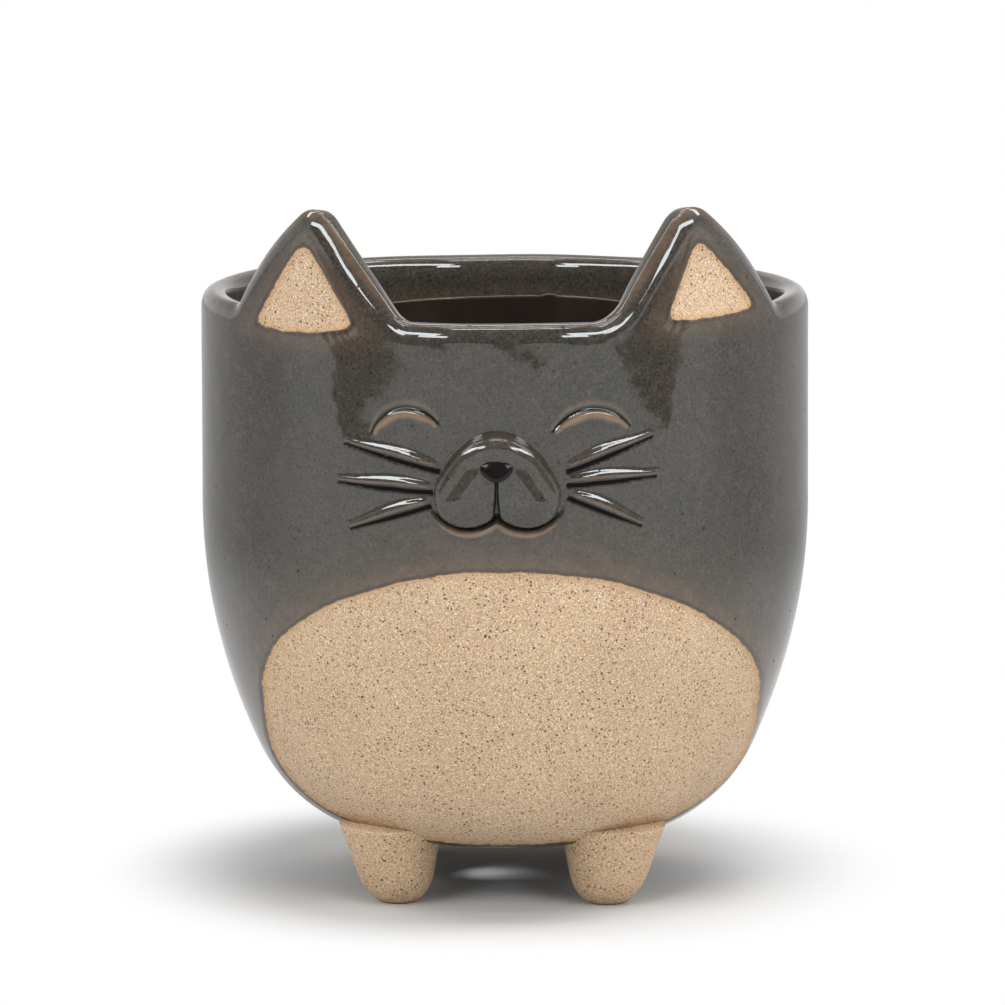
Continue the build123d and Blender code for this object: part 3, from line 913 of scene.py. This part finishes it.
def glaze_group(specks):
    """Dark glossy glaze: brown where it runs thin, near black where it pools and where shade is painted in,
    with sparse iron specks.
    """
    tree, given, result = new_group(
        "dark_glaze",
        [("Place", VECTOR, None), ("Thin", FLOAT, 0.0), ("Pool", FLOAT, 0.0)],
        [("Color", COLOUR), ("Roughness", FLOAT), ("Height", FLOAT)],
    )
    place = given["Place"]
    cloud = noise(tree, place, 45.0, 3.0)
    mottle = noise(tree, place, 420.0, 2.0)
    grain = noise(tree, place, 1900.0, 2.0)
    colour = mix_colours(tree, ease(tree, cloud, 0.3, 0.7), GLAZE_DARK, GLAZE_PALE)
    colour = mix_colours(tree, ease(tree, mottle, 0.46, 0.72), colour, GLAZE_MOTTLE)
    colour = mix_colours(tree, ease(tree, grain, 0.52, 0.75), colour, GLAZE_GRAIN)
    colour = mix_colours(tree, ease(tree, grain, 0.45, 0.28), colour, GLAZE_GRAIN_DARK)
    thin = math_node(tree, "MULTIPLY", given["Thin"], mix_values(tree, mottle, 0.55, 1.45), clamp=True)
    colour = mix_colours(tree, thin, colour, GLAZE_THIN)
    # Pooled glaze and painted shade: near black by the pool mark
    colour = mix_colours(tree, ease(tree, given["Pool"], 0.1, 0.7), colour, GLAZE_POOL_SHADE)
    pits = place_group(tree, specks, Place=place, Scale=330.0, Share=0.9, Size=0.15)[0]
    rust = place_group(tree, specks, Place=place, Scale=600.0, Share=0.2, Size=0.17)[0]
    colour = stain(tree, colour, rust, 0.6, GLAZE_RUST)
    colour = stain(tree, colour, pits, 0.9, GLAZE_PIT)
    short_wave, long_wave = noise(tree, place, 170.0, 1.0), noise(tree, place, 80.0, 1.0)
    ripple = math_node(tree, "MULTIPLY_ADD", short_wave, 1.5, long_wave)
    rough = math_node(tree, "MULTIPLY_ADD", given["Thin"], 0.20, 0.02)
    height = math_node(tree, "MULTIPLY_ADD", grain, rough, ripple)
    height = math_node(tree, "SUBTRACT", height, math_node(tree, "MULTIPLY", pits, 0.9))
    gloss = mix_values(tree, mottle, 0.025, 0.065)
    gloss = math_node(tree, "MULTIPLY_ADD", given["Thin"], 0.14, gloss)
    gloss = math_node(tree, "MULTIPLY_ADD", pits, 0.6, gloss)
    put_out(tree, result, Color=colour, Roughness=gloss, Height=height)
    return tree


def new_material(name):
    """A material with its shader, object coordinates and an attribute reader."""
    material = bpy.data.materials.new(name)
    material.use_nodes = True
    tree = material.node_tree
    shader = tree.nodes["Principled BSDF"]
    place = node(tree, "ShaderNodeTexCoord").outputs["Object"]

    def mark(label):
        """A value kept at the points of the mesh."""
        return node(tree, "ShaderNodeAttribute", {"attribute_name": label}).outputs["Fac"]

    return material, tree, shader, place, mark


def finish_shader(tree, shader, colour, roughness, height, depth):
    """Links colour, roughness and a bump of a given depth in metres to the shader."""
    bump = node(tree, "ShaderNodeBump", None, Strength=1.0, Distance=depth, Height=height)
    tree.links.new(colour, shader.inputs["Base Color"])
    tree.links.new(roughness, shader.inputs["Roughness"])
    tree.links.new(bump.outputs[0], shader.inputs["Normal"])


def glassy(shader):
    """The outer glaze's own gloss: a dense glass whose reflections lack a little red."""
    shader.inputs["IOR"].default_value = GLAZE_IOR
    shader.inputs["Specular Tint"].default_value = GLAZE_TINT


def stoneware_material(clay, glaze):
    """Glaze over clay: the bare mark, a distance in millimetres, parts them with a slightly ragged edge."""
    material, tree, shader, place, mark = new_material("glazed_stoneware")
    ragged = math_node(tree, "MULTIPLY_ADD", noise(tree, place, 500.0, 2.0), 0.6, -0.3)
    bare = math_node(tree, "ADD", mark("bare"), ragged)
    window = ease(tree, bare, -0.12, 0.12)
    flash = ease(tree, bare, 1.6, 0.0)
    halo = ease(tree, bare, -6.0, -0.5)
    # Painted shade: a dark line along the glaze's rolled edge round the bare clay, through the pool mark
    rolled_edge_shade = math_node(tree, "MULTIPLY", ease(tree, bare, -1.3, -0.5), ease(tree, bare, 0.1, -0.4))
    up = node(tree, "ShaderNodeSeparateXYZ", None, Vector=place).outputs[2]
    wash = math_node(tree, "MULTIPLY", ease(tree, bare, -18.0, -2.0), 0.11)
    wash = math_node(tree, "MULTIPLY", wash, ease(tree, up, 0.100, 0.085))
    halo = math_node(tree, "MULTIPLY_ADD", halo, 0.22, wash)
    thin = math_node(tree, "MAXIMUM", mark("thin"), halo)
    pool = math_node(tree, "MAXIMUM", mark("pool"), math_node(tree, "MULTIPLY", rolled_edge_shade, 0.35))
    body = place_group(tree, clay, Place=place, Flash=flash)
    coat = place_group(tree, glaze, Place=place, Thin=thin, Pool=pool)
    colour = mix_colours(tree, window, coat["Color"], body["Color"])
    roughness = mix_values(tree, window, coat["Roughness"], body["Roughness"])
    ripple = math_node(tree, "MULTIPLY", coat["Height"], COAT_SHARE)
    height = mix_values(tree, window, ripple, body["Height"])
    finish_shader(tree, shader, colour, roughness, height, CLAY_BUMP)
    glassy(shader)
    return material


def muzzle_material(glaze):
    """The same glaze, with no clay showing."""
    material, tree, shader, place, mark = new_material("muzzle_glaze")
    coat = place_group(tree, glaze, Place=place, Thin=mark("thin"), Pool=mark("pool"))
    height = math_node(tree, "MULTIPLY", coat["Height"], COAT_SHARE)
    finish_shader(tree, shader, coat["Color"], coat["Roughness"], height, CLAY_BUMP)
    glassy(shader)
    return material


def liner_material(specks):
    """The liner: coloured brown-black, glossy but less so than the outer glaze, and brown along its upper
    edge.
    """
    material, tree, shader, place, mark = new_material("liner_glaze")
    cloud = noise(tree, place, 70.0, 3.0)
    colour = mix_colours(tree, ease(tree, cloud, 0.3, 0.7), LINER_DARK, LINER_PALE)
    colour = mix_colours(tree, ease(tree, mark("thin"), 0.3, 1.0), colour, LINER_EDGE)
    pits = place_group(tree, specks, Place=place, Scale=420.0, Share=0.2, Size=0.16)[0]
    colour = stain(tree, colour, pits, 0.5, LINER_PIT)
    roughness = mix_values(tree, cloud, 0.14, 0.24)
    finish_shader(tree, shader, colour, roughness, noise(tree, place, 200.0), LINER_BUMP)
    return material


def nose_material():
    """The nose: a wet-looking black glaze bead."""
    material, tree, shader, place, _ = new_material("nose_glaze")
    cloud = noise(tree, place, 500.0, 2.0)
    colour = mix_colours(tree, cloud, NOSE_DARK, NOSE_PALE)
    finish_shader(tree, shader, colour, mix_values(tree, cloud, 0.14, 0.20), cloud, NOSE_BUMP)
    shader.inputs["Specular IOR Level"].default_value = 0.22
    return material


def leg_material(clay):
    """The legs: bare clay all over."""
    material, tree, shader, place, _ = new_material("leg_clay")
    body = place_group(tree, clay, Place=place, Flash=0.1)
    finish_shader(tree, shader, body["Color"], body["Roughness"], body["Height"], CLAY_BUMP)
    return material


# The pieces, the nodes that they stand for, and their slots

specks = specks_group()
clay = clay_group(specks)
glaze = glaze_group(specks)
legs_finish = leg_material(clay)

pot = pot_piece(stoneware_material(clay, glaze))
liner = liner_piece(liner_material(specks))
muzzle = muzzle_piece(muzzle_material(glaze))
nose = nose_piece(nose_material())
legs = {
    f"{end_name}_{side_name}_leg": leg_piece(f"leg_{end_name}_{side_name}", side, end, legs_finish)
    for end_name, end in (("front", -1), ("rear", 1))
    for side_name, side in (("left", -1), ("right", 1))
}

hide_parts("pot_body", "outer_glaze")
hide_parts("liner_glaze")
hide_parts("muzzle")
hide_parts("nose")
for replaced, leg in legs.items():
    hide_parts(replaced)
for piece in (pot, liner, muzzle, nose, *legs.values()):
    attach(piece, "root")

# Studio: a white floor that ends in front of the pot, soft boxes overhead, and a white surround

FLOOR_BACK = 4.0
FLOOR_SIDE = 3.0
FLOOR_MIDDLE = -0.34
TONGUE_FRONT = -0.92
TONGUE_LEFT = -0.57
TONGUE_RIGHT = 0.66
SHADOW_SHIFT = (0.001, -0.008, 0.0)
SHADOW_FADE = (0.048, 0.082)
MIRROR_FADE = (0.17, 0.40)
FLOOR_GREY = (0.53, 0.53, 0.53, 1)
BACK_LEVEL = 0.57
BOX_AIM = np.array([0.0, 0.0, 0.09])


def floor_piece():
    """A flat white sheet: it takes the shadow near the pot and is plain white further off."""
    mesh = bpy.data.meshes.new("floor")
    corners = [
        (-FLOOR_SIDE, FLOOR_MIDDLE, 0),
        (TONGUE_LEFT, FLOOR_MIDDLE, 0),
        (TONGUE_LEFT, TONGUE_FRONT, 0),
        (TONGUE_RIGHT, TONGUE_FRONT, 0),
        (TONGUE_RIGHT, FLOOR_MIDDLE, 0),
        (FLOOR_SIDE, FLOOR_MIDDLE, 0),
        (FLOOR_SIDE, FLOOR_BACK, 0),
        (-FLOOR_SIDE, FLOOR_BACK, 0),
    ]
    mesh.from_pydata(corners, [], [(1, 2, 3, 4), (0, 1, 4, 5, 6, 7)])
    material = bpy.data.materials.new("white_floor")
    material.use_nodes = True
    tree = material.node_tree
    shader = tree.nodes["Principled BSDF"]
    shader.inputs["Base Color"].default_value = FLOOR_GREY
    shader.inputs["Roughness"].default_value = 0.9
    shader.inputs["Specular IOR Level"].default_value = 0.0
    place = node(tree, "ShaderNodeTexCoord").outputs["Object"]
    from_pot = vector_node(tree, "ADD", n0=place, n1=SHADOW_SHIFT)[0]
    far = vector_node(tree, "LENGTH", n0=from_pot)["Value"]
    path = node(tree, "ShaderNodeLightPath")
    shown = math_node(tree, "MULTIPLY", ease(tree, far, *SHADOW_FADE), path.outputs["Is Camera Ray"])
    mirrored = math_node(tree, "MULTIPLY", ease(tree, far, *MIRROR_FADE), path.outputs["Is Glossy Ray"])
    share = math_node(tree, "MAXIMUM", shown, mirrored)
    depth = node(tree, "ShaderNodeSeparateXYZ", None, Vector=place).outputs[1]
    level = mix_values(tree, ease(tree, depth, -0.2, 0.1), 1.0, BACK_LEVEL)
    level = math_node(tree, "MAXIMUM", level, path.outputs["Is Camera Ray"])
    white = node(tree, "ShaderNodeEmission", None, Color=(1, 1, 1, 1), Strength=level)
    mixed = node(tree, "ShaderNodeMixShader", None, n0=share, n1=shader.outputs[0], n2=white.outputs[0])
    tree.links.new(mixed.outputs[0], tree.nodes["Material Output"].inputs["Surface"])
    mesh.materials.append(material)
    sheet = bpy.data.objects.new("floor", mesh)
    bpy.context.scene.collection.objects.link(sheet)
    return sheet


def studio_world():
    """White to the camera; to the pot a backdrop that is brightest low down, and a dark room in front."""
    world = bpy.data.worlds.new("studio")
    bpy.context.scene.world = world
    world.use_nodes = True
    tree = world.node_tree
    background = tree.nodes["Background"]
    outwards = node(tree, "ShaderNodeTexCoord").outputs["Generated"]
    way = node(tree, "ShaderNodeSeparateXYZ", None, Vector=outwards)
    behind = ease(tree, way.outputs[1], -0.40, -0.26)
    backdrop = mix_values(tree, ease(tree, way.outputs[2], 0.40, 0.05), 0.42, 0.85)
    level = mix_values(tree, behind, 0.08, backdrop)
    path = node(tree, "ShaderNodeLightPath")
    level = mix_values(tree, path.outputs["Is Camera Ray"], level, 1.0)
    tree.links.new(level, background.inputs["Strength"])
    background.inputs["Color"].default_value = (1, 1, 1, 1)


def soft_box(name, turn, rise, away, width, height, power, mirrored=True):
    """A rectangular lamp: degrees round the pot and over the floor, metres away, width, height, watts.

    One that is not mirrored lights the pot and leaves no highlight.
    """
    lamp = bpy.data.lights.new(name, "AREA")
    lamp.shape = "RECTANGLE"
    lamp.size, lamp.size_y, lamp.energy = width, height, power
    box = bpy.data.objects.new(name, lamp)
    box.visible_glossy = mirrored
    around, up = math.radians(turn), math.radians(rise)
    way = np.array([math.sin(around) * math.cos(up), -math.cos(around) * math.cos(up), math.sin(up)])
    box.location = BOX_AIM + away * way
    box.rotation_mode = "QUATERNION"
    box.rotation_quaternion = Vector(-way).to_track_quat("-Z", "Y")
    bpy.context.scene.collection.objects.link(box)


floor_piece()
studio_world()
soft_box("left_box", -47, 30, 1.2, 0.84, 0.18, 5.9)
soft_box("right_box", 48, 30, 1.2, 0.84, 0.18, 5.8)
soft_box("left_low_box", -26.5, 21, 1.2, 0.21, 0.14, 1.15)
soft_box("right_low_box", 27.5, 21, 1.2, 0.21, 0.14, 1.15)
soft_box("left_side_box", -98, 48, 1.2, 0.16, 0.60, 3.0)
soft_box("right_side_box", 98, 48, 1.2, 0.16, 0.60, 3.4)
soft_box("front_strip", 4, 60, 1.25, 0.75, 0.05, 2.2)
soft_box("middle_strip", 4, 74, 1.25, 0.75, 0.05, 1.7)
soft_box("back_strip", 4, 90, 1.25, 0.75, 0.05, 1.7)
soft_box("over_box", 66, 72, 1.35, 0.55, 0.45, 8.5, mirrored=False)
soft_box("top_box", 0, 125, 1.4, 0.70, 0.30, 4.0)

# Camera at the photograph's angle

CAMERA_AWAY = 1300.0
CAMERA_Z = 278.2
CAMERA_YAW = 1.6
LOOK_Z = 75.0
PIXELS_PER_MM = 5.07
PHOTO_SIZE = 1005.0
PHOTO_AXIS_X = 506.0
SENSOR = 36.0

camera = bpy.data.cameras.new("camera")
camera.sensor_width = SENSOR
view_length = math.hypot(CAMERA_AWAY, CAMERA_Z - LOOK_Z)
camera.lens = PIXELS_PER_MM * view_length * SENSOR / PHOTO_SIZE
camera.shift_x = (PHOTO_SIZE / 2 - PHOTO_AXIS_X) / PHOTO_SIZE
camera.clip_start, camera.clip_end = 0.05, 20.0
viewer = bpy.data.objects.new("camera", camera)
yaw = math.radians(CAMERA_YAW)
viewer.location = (
    CAMERA_AWAY * math.sin(yaw) * MM,
    (AXIS_Y - CAMERA_AWAY * math.cos(yaw)) * MM,
    CAMERA_Z * MM,
)
viewer.rotation_euler = (math.pi / 2 - math.atan2(CAMERA_Z - LOOK_Z, CAMERA_AWAY), 0, yaw)
bpy.context.scene.collection.objects.link(viewer)
bpy.context.scene.camera = viewer
bpy.context.scene.view_settings.view_transform = "Standard"
